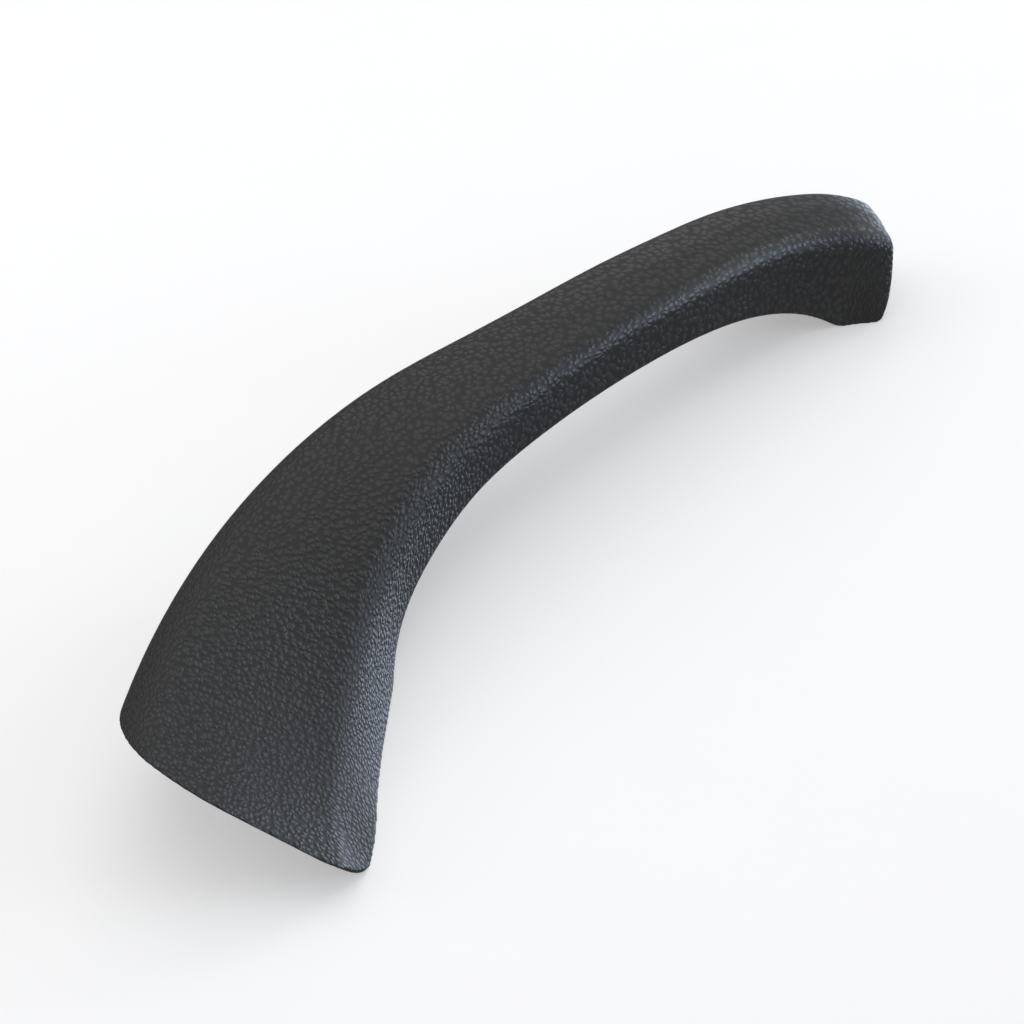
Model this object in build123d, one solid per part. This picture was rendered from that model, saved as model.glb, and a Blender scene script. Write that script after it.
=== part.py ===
from build123d import *
import os
from math import atan2, cos, degrees, radians, sin, sqrt, tan

# Car door pull handle, lying as it is bolted on: the door panel is the plane z = 0.
# X runs through the two fixings, from the wide lower foot to the narrow upper foot,
# and the origin is midway between them. Sizes are millimetres and degrees.

# Plan of the centre line: a long lower bend, a straight grip and a short upper bend
fixing_pitch = 228.0
lower_bend_radius = 187.0
lower_bend_angle = 34.5
upper_bend_radius = 105.0
upper_bend_angle = 30.6

# Widths across the handle
lip_width = 47.5
grip_width = 31.0
nose_width = 28.0
neck_from_lip = 142.0

# Heights above the door panel
grip_top = 43.5
far_lip_top = 42.5
near_lip_top = 10.0
near_drop_start = 104.0
near_drop_end = -38.0
crest_from_nose = 124.0
nose_top = 28.3

# Finger gap under the grip
finger_gap = 25.0
lower_foot_length = 41.0
upper_foot_length = 20.5
arch_power = 2.55

# Lean of the near wall at the two feet
lower_flare = 8.5
lower_flare_end = 65.0
upper_flare = 4.0

# Roundings of the section, at the wide lip and along the grip
far_radius = 8.5
near_radius_lip = 12.0
near_radius_grip = 6.0
lower_edge_radius = 2.5
crown_lip = 2.0
crown_grip = 1.2

# Rounded nose of the narrow end
nose_length = 20.0
nose_roll_top = 5.2
nose_roll_far = 3.5
nose_roll_near = 3.6
nose_roll_under = 7.3
nose_under_radius = 8.6
nose_tightening = 0.5

# Wide end, cut back under the handle to lie on the armrest
end_skew = 25.3
end_undercut = 37.0
end_cut_at = -14.75
far_corner_radius = 50.0
far_corner_from_spine = -17.0
far_corner_turn = 70.0
near_corner_radius = 3.4
near_corner_from_spine = 34.0
near_corner_turn = 110.0

# Moulded walls
cover_wall = 2.8
cover_return = 6.5
carrier_wall = 2.4
fit_clearance = 0.25
end_recess = 1.5
finger_face_recess = 0.4

# Ribs in the lower foot of the carrier
rib_thickness = 2.0
foot_rib_pitch = 17.0

# Threaded inserts for M5 screws, one in each foot
lower_fixing_from_lip = 24.0
lower_fixing_offset = -2.0
upper_fixing_from_nose = 13.8
insert_bore_radius = 2.1
insert_radius = 3.5
insert_length = 9.5
insert_groove_width = 2.0
insert_groove_depth = 0.5
insert_clearance = 0.05
insert_hole_depth = 13.0
boss_radius = 6.0

# Construction allowances, past the finished faces
run_out = 54.0
depth_below = 9.0
slot_overlap = 2.0
slot_run_out = 9.0
cut_depth = 2.0
cut_height = 80.0
reach = 400.0
body_spans = 12
nose_spans = 4
least_radius = 0.6


def bend_point(radius, turn, offset=0.0):
    """Point a given turn round a bend that starts at the origin along +X and curves to -Y."""
    return Vector((radius + offset) * sin(turn), (radius + offset) * cos(turn) - radius)


lower_arc = lower_bend_radius * radians(lower_bend_angle)
upper_arc = upper_bend_radius * radians(upper_bend_angle)
lower_fixing_turn = (lower_fixing_from_lip - lower_arc) / lower_bend_radius
lower_fixing = bend_point(lower_bend_radius, lower_fixing_turn, lower_fixing_offset)
upper_fixing_turn = (upper_arc - upper_fixing_from_nose) / upper_bend_radius
upper_fixing_ahead = bend_point(upper_bend_radius, upper_fixing_turn)

# The straight grip takes up what the two bends leave of the fixing pitch
fixing_rise = upper_fixing_ahead - lower_fixing
grip_run = sqrt(fixing_pitch**2 - fixing_rise.Y**2) - fixing_rise.X
upper_fixing = upper_fixing_ahead + Vector(grip_run, 0)
length = lower_arc + grip_run + upper_arc
arch_start = lower_foot_length
arch_end = length - upper_foot_length


def spine(s):
    """Plan point and heading of the centre line, s millimetres from the wide end."""
    if s < lower_arc:
        turn = (s - lower_arc) / lower_bend_radius
        return bend_point(lower_bend_radius, turn), -turn
    if s < lower_arc + grip_run:
        return Vector(s - lower_arc, 0), 0.0
    turn = (s - lower_arc - grip_run) / upper_bend_radius
    return bend_point(upper_bend_radius, turn) + Vector(grip_run, 0), -turn


def station_plane(s):
    """Upright plane across the handle: local x to the far side, local y up."""
    point, heading = spine(s)
    return Plane(point, x_dir=(-sin(heading), cos(heading), 0), z_dir=(cos(heading), sin(heading), 0))


def ease(t):
    """Smooth step from 0 to 1."""
    t = min(max(t, 0.0), 1.0)
    return t * t * (3.0 - 2.0 * t)


def lip_share(s):
    """How far a station is towards the wide lip: 0 along the grip, 1 at the lip."""
    return ease((neck_from_lip - s) / neck_from_lip)


def width(s):
    """Width of the broad face."""
    if s < neck_from_lip:
        return grip_width + (lip_width - grip_width) * (1.0 - s / neck_from_lip)
    return grip_width + (nose_width - grip_width) * (s - neck_from_lip) / (length - neck_from_lip)


def shoulder_drop(s):
    """Fall of the top towards the narrow foot."""
    t = max((s - length + crest_from_nose) / crest_from_nose, 0.0)
    return (grip_top - nose_top) * t**2


def far_top(s):
    """Height of the broad face at its far edge."""
    t = max(1.0 - s / neck_from_lip, 0.0)
    return grip_top - (grip_top - far_lip_top) * t**2 - shoulder_drop(s)


def near_top(s):
    """Height of the broad face at its near edge, which twists down to the door at the wide end."""
    t = (near_drop_start - s) / (near_drop_start - near_drop_end)
    return grip_top - (grip_top - near_lip_top) * ease(t) - shoulder_drop(s)


def underside(s):
    """Height of the finger side: an arch that runs on below the door plane at both feet."""
    t = abs(2.0 * (s - arch_start) / (arch_end - arch_start) - 1.0)
    return max(finger_gap * (1.0 - t**arch_power), -depth_below)


def flare(s):
    """How far the near wall leans out between the ridge and the door plane."""
    lower = lower_flare * ease((lower_flare_end - s) / lower_flare_end)
    return lower + upper_flare * ease((s - arch_end) / upper_foot_length)


def inset_corners(corners, insets):
    """Corners of a polygon with each edge moved in by its own distance."""
    moved = []
    count = len(corners)
    for i in range(count):
        before = corners[i] - corners[i - 1]
        after = corners[(i + 1) % count] - corners[i]
        first = Vector(-before.Y, before.X).normalized()
        second = Vector(-after.Y, after.X).normalized()
        spread = first.X * second.Y - first.Y * second.X
        x = (insets[i - 1] * second.Y - insets[i] * first.Y) / spread
        y = (insets[i] * first.X - insets[i - 1] * second.X) / spread
        moved.append(corners[i] + Vector(x, y))
    return moved


def rounded_outline(corners, radii):
    """Closed outline of straight edges and corner arcs."""
    count = len(corners)
    arcs = []
    for i in range(count):
        back = (corners[i - 1] - corners[i]).normalized()
        ahead = (corners[(i + 1) % count] - corners[i]).normalized()
        inward = (back + ahead).normalized()
        half = radians(back.get_angle(ahead)) / 2.0
        run = radii[i] / tan(half)
        middle = corners[i] + inward * (radii[i] / sin(half) - radii[i])
        arcs.append((corners[i] + back * run, middle, corners[i] + ahead * run))
    edges = []
    for i in range(count):
        edges.append(ThreePointArc(*arcs[i]))
        edges.append(Line(arcs[i][2], arcs[(i + 1) % count][0]))
    return Wire(edges)


def section(s, inset=0.0, roll=0.0):
    """Outline across the handle, moved in from the outer face, and rolled in further at the nose."""
    half = width(s) / 2.0
    bottom = max(underside(s), -depth_below * (1.0 - roll))
    lean = flare(s) / near_top(s)
    share = lip_share(s)
    crown = crown_grip + (crown_lip - crown_grip) * share
    far = Vector(half, far_top(s))
    near = Vector(-half, near_top(s))
    across = far - near
    middle = (far + near) / 2.0 + Vector(-across.Y, across.X).normalized() * crown
    near_foot = Vector(-half - lean * (near.Y - bottom), bottom)
    far_foot = Vector(half, bottom)
    rolls = [nose_roll_top, nose_roll_top, nose_roll_near, nose_roll_under, nose_roll_far]
    insets = [inset + side_roll * roll for side_roll in rolls]
    corners = inset_corners([far, middle, near, near_foot, far_foot], insets)
    near_radius = near_radius_grip + (near_radius_lip - near_radius_grip) * share
    crown_half = (across.length / 2.0 - max(far_radius, near_radius_grip)) / 2.0
    crown_radius = crown_half * across.length / (4.0 * crown)
    tighter = 1.0 - nose_tightening * roll
    lower_radius = lower_edge_radius + (nose_under_radius - lower_edge_radius) * roll
    radii = [far_radius * tighter, crown_radius + inset, near_radius * tighter, lower_radius, lower_radius]
    radii = [max(radius - inset, least_radius) for radius in radii]
    return station_plane(s) * rounded_outline(corners, radii)


def handle_loft(inset=0.0, end=None):
    """Solid through the sections, closed by the rounded nose unless it ends earlier."""
    shoulder = length - nose_length if end is None else end
    step = (shoulder + run_out) / body_spans
    outlines = [section(i * step - run_out, inset) for i in range(body_spans + 1)]
    if end is None:
        for i in range(1, nose_spans + 1):
            turn = radians(90.0 * i / nose_spans)
            along = (nose_length - inset) * sin(turn)
            outlines.append(section(shoulder + along, inset, 1.0 - cos(turn)))
    return Solid.make_loft(outlines)


def panel_loft(start, end, outline):
    """Solid through four-cornered outlines, given as (left, right, bottom, top) at each station."""
    wires = []
    for i in range(body_spans + 1):
        s = start + (end - start) * i / body_spans
        left, right, bottom, top = outline(s)
        corners = [(left, bottom), (right, bottom), (right, top), (left, top)]
        wires.append(station_plane(s) * Wire.make_polygon([Vector(*corner) for corner in corners]))
    return Solid.make_loft(wires)


def below_door():
    """Everything behind the door plane."""
    return Pos(0, 0, -reach / 2.0) * Box(2.0 * reach, 2.0 * reach, reach)


def corner_points(start, radius, grow, turn, side):
    """Start, middle and end of a corner of the end, in the plan of the cut, grown outwards."""
    grown = max(radius + grow, least_radius)
    turns = [radians(turn) * step for step in (0.0, 0.5, 1.0)]
    return [Vector(start + side * grown * sin(t), grow + grown * cos(t) - grown) for t in turns]


def end_outline(height, recess):
    """Outline of everything beyond the undercut end at one height, or set back from it."""
    tilt = radians(end_undercut)
    grow = height * tan(tilt) - recess / cos(tilt)
    far = corner_points(far_corner_from_spine, far_corner_radius, grow, far_corner_turn, 1)
    near = corner_points(-near_corner_from_spine, near_corner_radius, grow, near_corner_turn, -1)
    beyond = [far[2], (reach, far[2].Y), (reach, reach), (-reach, reach), (-reach, near[2].Y), near[2]]
    edges = [Line(near[0], far[0]), ThreePointArc(*far)]
    edges += Polyline(*beyond).edges()
    edges.append(ThreePointArc(*reversed(near)))
    return Wire(edges)


def beyond_end(recess=0.0):
    """Everything outside the end, which is undercut all round its two rounded corners."""
    lip = station_plane(0.0)
    skew = radians(end_skew)
    level = lip.x_dir * sin(skew) - lip.z_dir * cos(skew)
    start = lip.origin + lip.z_dir * end_cut_at
    plan = Plane(start, x_dir=level.rotate(Axis.Z, -90), z_dir=(0, 0, 1))
    heights = (-cut_depth, cut_height)
    return Solid.make_loft([plan.offset(h) * end_outline(h, recess) for h in heights], ruled=True)


def trimmed(body, recess=0.0):
    """Body cut off at the door plane and at the wide end."""
    return body - below_door() - beyond_end(recess)


def finger_slot(clearance=0.0):
    """Slot along the finger side, or the tongue of the carrier that fills it."""
    margin = cover_return + clearance
    depth = cover_wall + slot_overlap

    def outline(s):
        half = width(s) / 2.0
        bottom = underside(s)
        low = bottom + finger_face_recess if clearance else bottom - depth
        return -half + margin, half - margin, low, bottom + depth

    return panel_loft(arch_start - slot_run_out, arch_end + slot_run_out, outline)


def grip_cover():
    """Grained outer moulding: one wall all round, open to the door and along the finger side."""
    body = trimmed(handle_loft())
    return body - handle_loft(cover_wall) - finger_slot()


def rib_plates(start, end, pitch):
    """Upright plates across the handle, evenly spread at about the given pitch."""
    count = max(round((end - start) / pitch), 2)
    plate = Box(reach, reach, rib_thickness)
    return [station_plane(start + (end - start) * i / count) * plate for i in range(1, count)]


def spine_rib():
    """Upright plate along the lower bend of the centre line."""
    centre = Pos(0, -lower_bend_radius, 0)
    outside = Cylinder(lower_bend_radius + rib_thickness / 2.0, reach)
    return centre * (outside - Cylinder(lower_bend_radius - rib_thickness / 2.0, reach))


def foot_pockets():
    """Pockets open to the door in the lower foot of the carrier, between its ribs and boss."""
    end = arch_start - carrier_wall
    core = handle_loft(cover_wall + fit_clearance + carrier_wall, end)
    core = core - beyond_end(end_recess + carrier_wall)
    core = core - rib_plates(end_cut_at, end, foot_rib_pitch) - spine_rib()
    return core - Pos(lower_fixing) * Cylinder(boss_radius, reach)


def grip_carrier():
    """Inner moulding that fills the grip, closes the finger side and carries the fixings in both feet."""
    body = handle_loft(cover_wall + fit_clearance) + finger_slot(fit_clearance)
    body = trimmed(body, end_recess) - foot_pockets()
    hole = Cylinder(insert_radius + insert_clearance, 2.0 * insert_hole_depth)
    return body - Pos(lower_fixing) * hole - Pos(upper_fixing) * hole


def threaded_insert():
    """Brass insert with two gripping bands, its mouth flush with the foot."""
    band = (insert_length - insert_groove_width) / 2.0
    groove_radius = insert_radius - insert_groove_depth
    profile = Polyline(
        (insert_bore_radius, 0),
        (insert_radius, 0),
        (insert_radius, band),
        (groove_radius, band),
        (groove_radius, insert_length - band),
        (insert_radius, insert_length - band),
        (insert_radius, insert_length),
        (insert_bore_radius, insert_length),
        close=True,
    )
    return revolve(Plane.XZ * make_face(profile), Axis.Z)


def export(name, solid):
    """Write one node in the frame of the fixings."""
    middle = (lower_fixing + upper_fixing) / 2.0
    line = upper_fixing - lower_fixing
    placed = Rot(0, 0, -degrees(atan2(line.Y, line.X))) * Pos(-middle.X, -middle.Y, 0) * solid
    placed.label = name
    export_step(placed, f"parts/{name}.step")
    return placed


os.makedirs("parts", exist_ok=True)
insert = threaded_insert()
export("grip_cover", grip_cover())
export("grip_carrier", grip_carrier())
export("threaded_inserts", Compound(children=[Pos(lower_fixing) * insert, Pos(upper_fixing) * insert]))
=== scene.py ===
import math

import bmesh
import bpy
import numpy as np
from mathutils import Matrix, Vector


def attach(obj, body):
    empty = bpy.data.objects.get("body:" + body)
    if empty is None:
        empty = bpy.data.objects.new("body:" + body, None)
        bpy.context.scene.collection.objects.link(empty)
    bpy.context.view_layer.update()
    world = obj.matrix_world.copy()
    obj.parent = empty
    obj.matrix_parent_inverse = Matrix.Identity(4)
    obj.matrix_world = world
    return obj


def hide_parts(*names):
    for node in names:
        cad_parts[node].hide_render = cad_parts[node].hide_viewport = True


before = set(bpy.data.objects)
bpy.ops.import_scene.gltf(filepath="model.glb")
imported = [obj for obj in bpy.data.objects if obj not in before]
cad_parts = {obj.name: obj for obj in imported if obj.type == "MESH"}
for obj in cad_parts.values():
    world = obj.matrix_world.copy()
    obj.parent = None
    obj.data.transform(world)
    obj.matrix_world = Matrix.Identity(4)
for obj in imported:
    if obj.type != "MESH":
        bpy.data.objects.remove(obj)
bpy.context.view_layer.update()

# Centre line of the handle in plan, in metres: a long lower bend, a straight grip and a short upper bend
LOWER_RADIUS = 0.187
LOWER_ANGLE = math.radians(34.5)
LOWER_ARC = LOWER_RADIUS * LOWER_ANGLE
UPPER_RADIUS = 0.105
GRIP_RUN = 0.10202
HANDLE_LENGTH = 0.27069

# Place and turn of the part's frame, seen from the start of the straight grip
FIXING_MIDDLE = (0.02938, -0.01539)
FIXING_TURN = math.radians(3.516)

# Broad face of the handle, in metres: its width and the heights of its far and near edges
LIP_WIDTH = 0.0475
GRIP_WIDTH = 0.031
NOSE_WIDTH = 0.028
NECK = 0.142
GRIP_TOP = 0.0435
NOSE_TOP = 0.0283
NEAR_LIP_TOP = 0.010
NEAR_DROP_START = 0.104
NEAR_DROP_RUN = 0.142
CREST_FROM_NOSE = 0.124
NOSE_LENGTH = 0.020

# Skin of the cover: weld distance and voxel in metres, softening and the share of triangles that is kept
WELD = 1e-6
VOXEL = 0.00045
SOFTENING = 0.5
SOFTENING_ROUNDS = 8
THINNING = 0.29

# Size of one pebble of the grain at the two ends of the handle, and the depth of the grain
LIP_PEBBLE = 0.00145
NOSE_PEBBLE = 0.0026
GRAIN_DEPTH = 0.00031

# Half-width of the band in the middle of the broad face where the grain passes from one side to the other
SIDE_BLEND = 0.004

# Share of the grain's depth that the broad face loses towards the nose, the shares of the handle's length
# over which it goes, and the drop below the broad face over which it comes back
NOSE_FADING = 0.7
FADING_START = 0.3
FADING_RUN = 0.4
FADING_EDGE = 0.001
FADING_EDGE_RUN = 0.005

# Camera, found from the handle's outline in the photograph
CAMERA_AIM = Vector((-0.0416, -0.0100, 0.0200))
CAMERA_PLACE = Vector((-0.4154, -0.33885, 0.4378))
CAMERA_LENS = 89.12
CAMERA_SENSOR = 36.0
CAMERA_CLIP = (0.01, 20.0)

# Level ways in the room, as the camera sees it
AHEAD = (CAMERA_AIM - CAMERA_PLACE).to_2d().normalized()
RIGHT = Vector((AHEAD.y, -AHEAD.x))
UP = Vector((0.0, 0.0, 1.0))

# Floor: half its side, and the share and strength of the plain white that lifts its shadows
FLOOR_REACH = 3.0
FLOOR_LIFT = 0.28
FLOOR_GLOW = 1.27

# Soft square lights: place to the right of, ahead of and above the aim's foot, side, power and colour
SOFT_LIGHTS = {
    "key": ((-0.1, 0.25, 1.15), 1.2, 4.6, (1.0, 0.99, 0.975)),
    "left_fill": ((-0.9, 0.05, 0.7), 0.6, 2.3, (1.0, 1.0, 1.0)),
    "cool_back": ((0.8, 0.62, 0.4), 0.35, 1.9, (0.90, 0.95, 1.0)),
}

# Windows of light in the surround: way to the middle, to the right, ahead and up, then the cosines of the
# angles from it where the light starts and where it is full, and its strength
WHITE_WINDOWS = {
    "back": ((0.0, 1.0, 0.3), 0.94, 0.995, 0.55),
    "front": ((0.3, -0.7, -0.5), 0.65, 0.95, 0.5),
}
BLUE_WINDOWS = {
    "back_right": ((0.5, 0.8, -0.33), 0.91, 0.97, 3.7),
    "side": ((1.0, 0.06, 0.12), 0.96, 0.985, 7.8),
}
WINDOW_WHITE = (1.0, 1.0, 1.0, 1.0)
WINDOW_BLUE = (0.70, 0.81, 1.0, 1.0)

# Colours of the materials
# Leather: the crease colour is painted shade, darker than the leather's own black on the crowns
CREASE_PAINTED_SHADE = (0.009, 0.009, 0.0091, 1.0)
CROWN_BLACK = (0.022, 0.022, 0.0224, 1.0)
PLASTIC_DARK = (0.014, 0.014, 0.015, 1.0)
PLASTIC_LIGHT = (0.022, 0.022, 0.023, 1.0)
BRASS = (0.72, 0.53, 0.25, 1.0)
TARNISHED_BRASS = (0.50, 0.34, 0.15, 1.0)
PAPER_DARK = (0.94, 0.94, 0.95, 1.0)
PAPER_LIGHT = (0.96, 0.96, 0.97, 1.0)


class Graph:
    """Short ways to add shader nodes to one tree."""

    def __init__(self, tree):
        self.tree = tree
        tree.nodes.clear()

    def put(self, socket, value):
        """Gives a socket a plain value, or links another node's output to it."""
        if isinstance(value, bpy.types.NodeSocket):
            self.tree.links.new(value, socket)
        else:
            socket.default_value = value

    def node(self, kind, inputs=None, **settings):
        """Adds a node with its settings, and fills its input sockets by name or by number."""
        made = self.tree.nodes.new(kind)
        for name, value in settings.items():
            setattr(made, name, value)
        for socket, value in (inputs or {}).items():
            self.put(made.inputs[socket], value)
        return made

    def attribute(self, name, output):
        return self.node("ShaderNodeAttribute", attribute_name=name).outputs[output]

    def coordinates(self, output):
        return self.node("ShaderNodeTexCoord").outputs[output]

    def math(self, operation, first, second):
        return self.node("ShaderNodeMath", {0: first, 1: second}, operation=operation).outputs[0]

    def scaled(self, value, share):
        return self.math("MULTIPLY", value, share)

    def total(self, parts):
        result = parts[0]
        for part in parts[1:]:
            result = self.math("ADD", result, part)
        return result

    def vector(self, operation, first, second):
        return self.node("ShaderNodeVectorMath", {0: first, 1: second}, operation=operation).outputs["Vector"]

    def facing(self, way, axis):
        """Cosine of the angle between a way and an axis."""
        return self.node("ShaderNodeVectorMath", {0: way, 1: axis}, operation="DOT_PRODUCT").outputs["Value"]

    def background(self, colour, strength):
        inputs = {"Color": colour, "Strength": strength}
        return self.node("ShaderNodeBackground", inputs).outputs["Background"]

    def noise(self, place, scale, detail=2.0, roughness=0.5, output="Fac"):
        inputs = {"Vector": place, "Scale": scale, "Detail": detail, "Roughness": roughness}
        return self.node("ShaderNodeTexNoise", inputs).outputs[output]

    def crowns(self, place, smoothness):
        """Distance from the middle of the nearest pebble, blended between neighbours."""
        inputs = {"Vector": place, "Scale": 1.0, "Smoothness": smoothness}
        made = self.node("ShaderNodeTexVoronoi", inputs, voronoi_dimensions="2D", feature="SMOOTH_F1")
        return made.outputs["Distance"]

    def creases(self, place, scale):
        """Distance from the nearest edge between two pebbles."""
        inputs = {"Vector": place, "Scale": scale}
        made = self.node("ShaderNodeTexVoronoi", inputs, voronoi_dimensions="2D", feature="DISTANCE_TO_EDGE")
        return made.outputs["Distance"]

    def ramp(self, value, low, high, start=0.0, end=1.0):
        """Goes smoothly from start to end while the value goes from low to high."""
        inputs = {"Value": value, "From Min": low, "From Max": high, "To Min": start, "To Max": end}
        return self.node("ShaderNodeMapRange", inputs, interpolation_type="SMOOTHSTEP").outputs["Result"]

    def mix(self, share, first, second):
        inputs = {"Factor": share, "A": first, "B": second}
        return self.node("ShaderNodeMix", inputs, data_type="RGBA").outputs["Result"]

    def bump(self, height, depth, strength):
        inputs = {"Height": height, "Distance": depth, "Strength": strength}
        return self.node("ShaderNodeBump", inputs).outputs["Normal"]

    def surface(self, colour, roughness, normal, metallic=0.0, specular=0.5):
        """Ends a material with one principled shader."""
        inputs = {
            "Base Color": colour,
            "Roughness": roughness,
            "Normal": normal,
            "Metallic": metallic,
            "Specular IOR Level": specular,
        }
        shader = self.node("ShaderNodeBsdfPrincipled", inputs)
        self.node("ShaderNodeOutputMaterial", {"Surface": shader.outputs["BSDF"]})


def new_material(name):
    material = bpy.data.materials.new(name)
    material.use_nodes = True
    return material, Graph(material.node_tree)


def leather_grain():
    """Black moulded leather grain: pebbles between creases darkened by painted shade, laid and faded by what
    lay_grain writes.
    """
    material, graph = new_material("black_leather_grain")
    flat = graph.attribute("grain", "Vector")
    drift = graph.vector("SUBTRACT", graph.noise(flat, scale=0.55, output="Color"), (0.5, 0.5, 0.5))
    place = graph.vector("ADD", flat, graph.vector("MULTIPLY", drift, (1.1, 1.1, 0.0)))
    crowns = graph.ramp(graph.crowns(place, smoothness=0.35), low=0.05, high=0.6, start=1.0, end=0.0)
    creases = graph.ramp(graph.creases(place, scale=1.0), low=0.0, high=0.32)
    wrinkles = graph.ramp(graph.creases(place, scale=2.3), low=0.0, high=0.30)
    pores = graph.noise(place, scale=4.0, detail=3.0, roughness=0.6)
    swell = graph.noise(place, scale=0.35)
    patches = graph.noise(place, scale=0.05, detail=3.0)
    height = graph.total([
        graph.scaled(crowns, 0.55),
        graph.scaled(creases, 0.16),
        graph.scaled(wrinkles, 0.06),
        graph.scaled(pores, 0.08),
        graph.scaled(swell, 0.15),
    ])
    # Colour goes darker down into the creases: painted shade, not a colour of the leather
    colour = graph.mix(graph.ramp(height, low=0.15, high=0.7), CREASE_PAINTED_SHADE, CROWN_BLACK)
    worn = graph.ramp(height, low=0.1, high=0.8, start=0.50, end=0.33)
    roughness = graph.total([worn, graph.scaled(patches, 0.06)])
    normal = graph.bump(height, GRAIN_DEPTH, graph.attribute("grain_depth", "Fac"))
    graph.surface(colour, roughness, normal, specular=0.4)
    return material


def carrier_plastic():
    """Black moulded plastic with a fine eroded texture."""
    material, graph = new_material("carrier_plastic")
    place = graph.coordinates("Object")
    fine = graph.noise(place, scale=2600.0, detail=3.0, roughness=0.6)
    flow = graph.noise(place, scale=45.0, detail=3.0)
    colour = graph.mix(graph.ramp(flow, low=0.3, high=0.7), PLASTIC_DARK, PLASTIC_LIGHT)
    eroded = graph.ramp(fine, low=0.25, high=0.75, start=0.5, end=0.62)
    roughness = graph.total([eroded, graph.scaled(flow, 0.08)])
    graph.surface(colour, roughness, graph.bump(fine, depth=0.00005, strength=0.6))
    return material


def turned_brass():
    """Bare turned brass with fine tool rings and a little tarnish."""
    material, graph = new_material("turned_brass")
    place = graph.coordinates("Object")
    inputs = {"Vector": place, "Scale": 900.0, "Distortion": 0.6}
    rings = graph.node("ShaderNodeTexWave", inputs, wave_type="BANDS", bands_direction="Z").outputs["Fac"]
    tarnish = graph.noise(place, scale=420.0, detail=4.0, roughness=0.6)
    colour = graph.mix(graph.ramp(tarnish, low=0.35, high=0.7), BRASS, TARNISHED_BRASS)
    roughness = graph.ramp(tarnish, low=0.3, high=0.8, start=0.24, end=0.42)
    graph.surface(colour, roughness, graph.bump(rings, depth=0.00003, strength=0.5), metallic=1.0)
    return material


def along_and_across(points):
    """Distance along the centre line and distance from it, for points in plan."""
    cosine = math.cos(FIXING_TURN)
    sine = math.sin(FIXING_TURN)
    turn = np.array([[cosine, -sine], [sine, cosine]])
    x, y = (points[:, :2] @ turn.T + np.array(FIXING_MIDDLE)).T
    along = LOWER_ARC + x
    across = y.copy()
    lower = x < 0.0
    along[lower] = LOWER_ARC + LOWER_RADIUS * np.arctan2(x, y + LOWER_RADIUS)[lower]
    across[lower] = np.hypot(x, y + LOWER_RADIUS)[lower] - LOWER_RADIUS
    upper = x > GRIP_RUN
    beyond = x - GRIP_RUN
    along[upper] = LOWER_ARC + GRIP_RUN + UPPER_RADIUS * np.arctan2(beyond, y + UPPER_RADIUS)[upper]
    across[upper] = np.hypot(beyond, y + UPPER_RADIUS)[upper] - UPPER_RADIUS
    return along, across


def smooth_step(rise):
    """Goes smoothly from 0 to 1 while the rise does."""
    rise = np.clip(rise, 0.0, 1.0)
    return rise * rise * (3.0 - 2.0 * rise)


def lay_grain(mesh):
    """Gives each vertex its place in the flat grain, along and round the handle, and the grain's depth."""
    points = np.zeros(len(mesh.vertices) * 3, np.float32)
    mesh.vertices.foreach_get("co", points)
    points = points.reshape(-1, 3).astype(float)
    along, across = along_and_across(points)

    # Drop of each vertex below the broad face
    crest = np.clip((along - HANDLE_LENGTH + CREST_FROM_NOSE) / CREST_FROM_NOSE, 0.0, 1.0)
    far_top = GRIP_TOP - (GRIP_TOP - NOSE_TOP) * crest**2
    near_drop = smooth_step((NEAR_DROP_START - along) / NEAR_DROP_RUN)
    near_top = far_top - (GRIP_TOP - NEAR_LIP_TOP) * near_drop
    width = np.interp(along, [0.0, NECK, HANDLE_LENGTH], [LIP_WIDTH, GRIP_WIDTH, NOSE_WIDTH])
    slope = (far_top - near_top) / width
    drop = np.maximum((far_top + near_top) / 2.0 + slope * across - points[:, 2], 0.0)

    # Place in the grain, counted in pebbles that grow towards the nose
    share = np.clip(along / HANDLE_LENGTH, 0.0, 1.0)
    pebble = LIP_PEBBLE + (NOSE_PEBBLE - LIP_PEBBLE) * share
    run = np.log(pebble / LIP_PEBBLE) * HANDLE_LENGTH / (NOSE_PEBBLE - LIP_PEBBLE)
    run = np.where(along < 0.0, along / LIP_PEBBLE, run)
    nose = smooth_step((along - HANDLE_LENGTH + NOSE_LENGTH) / NOSE_LENGTH)
    run = run + nose * drop / pebble
    girth = across * np.sqrt(1.0 + slope**2) + np.tanh(across / SIDE_BLEND) * drop
    grain = np.stack([run, girth / pebble, np.zeros(len(points))], axis=1).astype(np.float32)
    place = mesh.attributes.new("grain", "FLOAT_VECTOR", "POINT")
    place.data.foreach_set("vector", grain.ravel())

    # Depth of the grain, fainter on the broad face towards the nose
    towards_nose = smooth_step((share - FADING_START) / FADING_RUN)
    off_face = smooth_step((drop - FADING_EDGE) / FADING_EDGE_RUN)
    fading = towards_nose * (1.0 - off_face)
    depth = mesh.attributes.new("grain_depth", "FLOAT", "POINT")
    depth.data.foreach_set("value", (1.0 - NOSE_FADING * fading).astype(np.float32))


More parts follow.
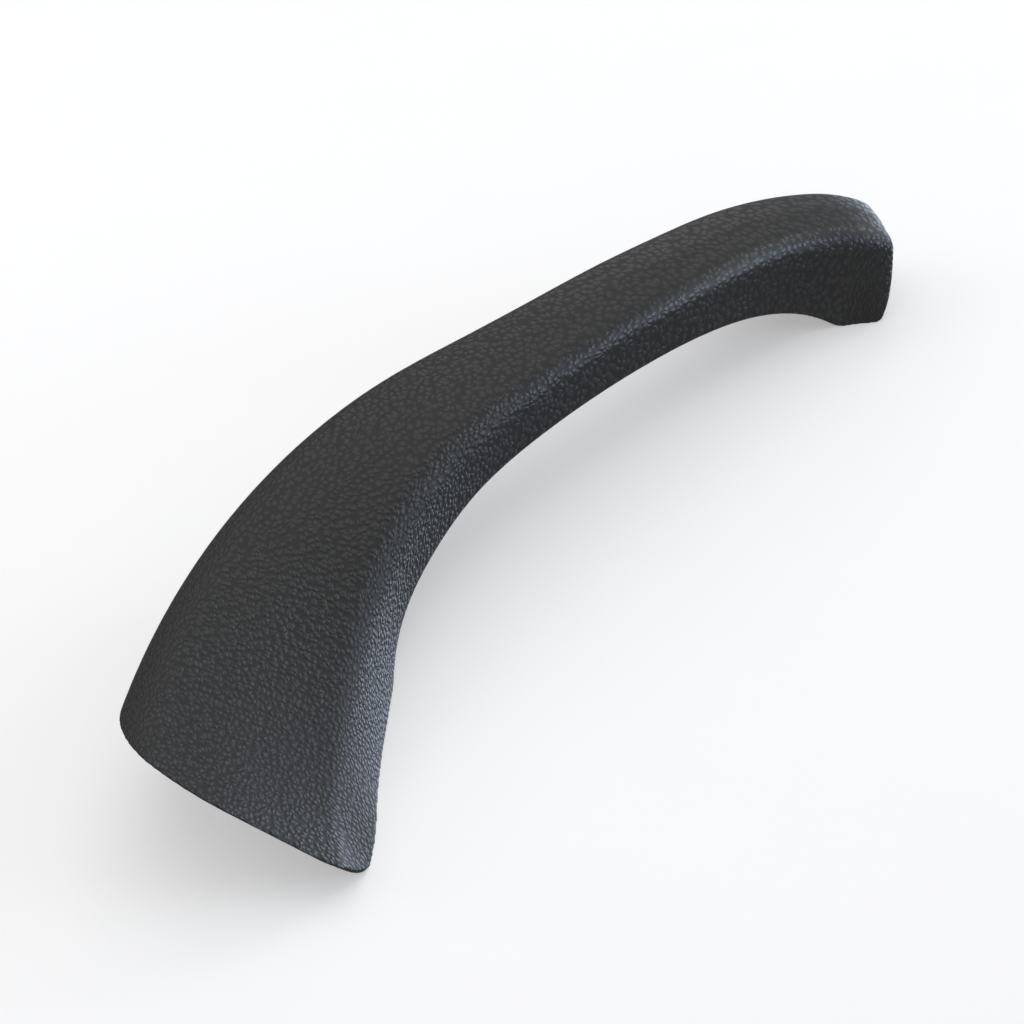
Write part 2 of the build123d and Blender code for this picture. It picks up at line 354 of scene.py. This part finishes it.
def moulded_cover():
    """The cover as one finely divided skin with its edges softened, in the place of the plain solid."""
    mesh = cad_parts["grip_cover"].data.copy()
    mesh.name = "moulded_cover"
    welded = bmesh.new()
    welded.from_mesh(mesh)
    bmesh.ops.remove_doubles(welded, verts=welded.verts, dist=WELD)
    welded.to_mesh(mesh)
    welded.free()
    cover = bpy.data.objects.new("moulded_cover", mesh)
    bpy.context.scene.collection.objects.link(cover)
    skin = cover.modifiers.new("skin", "REMESH")
    skin.mode = "VOXEL"
    skin.voxel_size = VOXEL
    soften = cover.modifiers.new("soften", "SMOOTH")
    soften.factor = SOFTENING
    soften.iterations = SOFTENING_ROUNDS
    thin = cover.modifiers.new("thin", "DECIMATE")
    thin.ratio = THINNING
    evaluated = cover.evaluated_get(bpy.context.evaluated_depsgraph_get())
    fine = bpy.data.meshes.new_from_object(evaluated)
    cover.modifiers.clear()
    cover.data = fine
    fine.polygons.foreach_set("use_smooth", [True] * len(fine.polygons))
    lay_grain(fine)
    fine.materials.clear()
    fine.materials.append(leather_grain())
    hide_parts("grip_cover")
    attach(cover, "root")


def finish_node(name, material):
    """Gives a carried-over node its material."""
    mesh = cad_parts[name].data
    mesh.materials.clear()
    mesh.materials.append(material)


def pale_floor():
    """White paper with lifted shadows."""
    material, graph = new_material("pale_floor")
    speck = graph.noise(graph.coordinates("Object"), scale=30.0, detail=3.0)
    colour = graph.mix(speck, PAPER_DARK, PAPER_LIGHT)
    normal = graph.bump(speck, depth=0.0001, strength=0.05)
    paper = graph.node("ShaderNodeBsdfDiffuse", {"Color": colour, "Normal": normal})
    glow = graph.node("ShaderNodeEmission", {"Strength": FLOOR_GLOW})
    lifted = graph.node("ShaderNodeMixShader", {0: FLOOR_LIFT, 1: paper.outputs[0], 2: glow.outputs[0]})
    graph.node("ShaderNodeOutputMaterial", {"Surface": lifted.outputs[0]})
    return material


def floor():
    """Studio floor that the camera sees and that does not light the handle."""
    mesh = bpy.data.meshes.new("floor")
    corners = [(x * FLOOR_REACH, y * FLOOR_REACH, 0.0) for x, y in [(-1, -1), (1, -1), (1, 1), (-1, 1)]]
    mesh.from_pydata(corners, [], [(0, 1, 2, 3)])
    mesh.materials.append(pale_floor())
    made = bpy.data.objects.new("floor", mesh)
    bpy.context.scene.collection.objects.link(made)
    made.visible_diffuse = False
    made.visible_glossy = False
    made.visible_shadow = False


def room(side, depth, height):
    """Vector in the room, from its lengths to the right, ahead and up."""
    return (RIGHT * side + AHEAD * depth).to_3d() + UP * height


def aimed(name, data, place):
    """Adds a light or a camera that looks at the aim."""
    made = bpy.data.objects.new(name, data)
    made.location = place
    made.rotation_euler = (CAMERA_AIM - place).to_track_quat("-Z", "Y").to_euler()
    bpy.context.scene.collection.objects.link(made)
    return made


def soft_lights():
    """Square lights over, beside and behind the handle."""
    foot = Vector((CAMERA_AIM.x, CAMERA_AIM.y, 0.0))
    for name, (place, side, power, colour) in SOFT_LIGHTS.items():
        light = bpy.data.lights.new(name, "AREA")
        light.shape = "SQUARE"
        light.size = side
        light.energy = power
        light.color = colour
        aimed(name, light, foot + room(*place))


def surround():
    """World light that is paler above than below, with soft white and bluish windows."""
    world = bpy.data.worlds.new("surround")
    world.use_nodes = True
    graph = Graph(world.node_tree)
    way = graph.coordinates("Generated")

    def window(middle, start, full, strength):
        return graph.ramp(graph.facing(way, room(*middle).normalized()), start, full, 0.0, strength)

    sky = graph.ramp(graph.facing(way, UP), low=-0.1, high=0.25, start=0.18, end=0.46)
    white = graph.total([sky] + [window(*row) for row in WHITE_WINDOWS.values()])
    blue = graph.total([window(*row) for row in BLUE_WINDOWS.values()])
    lights = {0: graph.background(WINDOW_WHITE, white), 1: graph.background(WINDOW_BLUE, blue)}
    light = graph.node("ShaderNodeAddShader", lights).outputs["Shader"]
    graph.node("ShaderNodeOutputWorld", {"Surface": light})
    bpy.context.scene.world = world


def camera():
    """The photograph's camera."""
    data = bpy.data.cameras.new("camera")
    data.lens = CAMERA_LENS
    data.sensor_width = CAMERA_SENSOR
    data.clip_start, data.clip_end = CAMERA_CLIP
    bpy.context.scene.camera = aimed("camera", data, CAMERA_PLACE)


bpy.context.scene.view_settings.view_transform = "Standard"
moulded_cover()
finish_node("grip_carrier", carrier_plastic())
finish_node("threaded_inserts", turned_brass())
floor()
soft_lights()
surround()
camera()
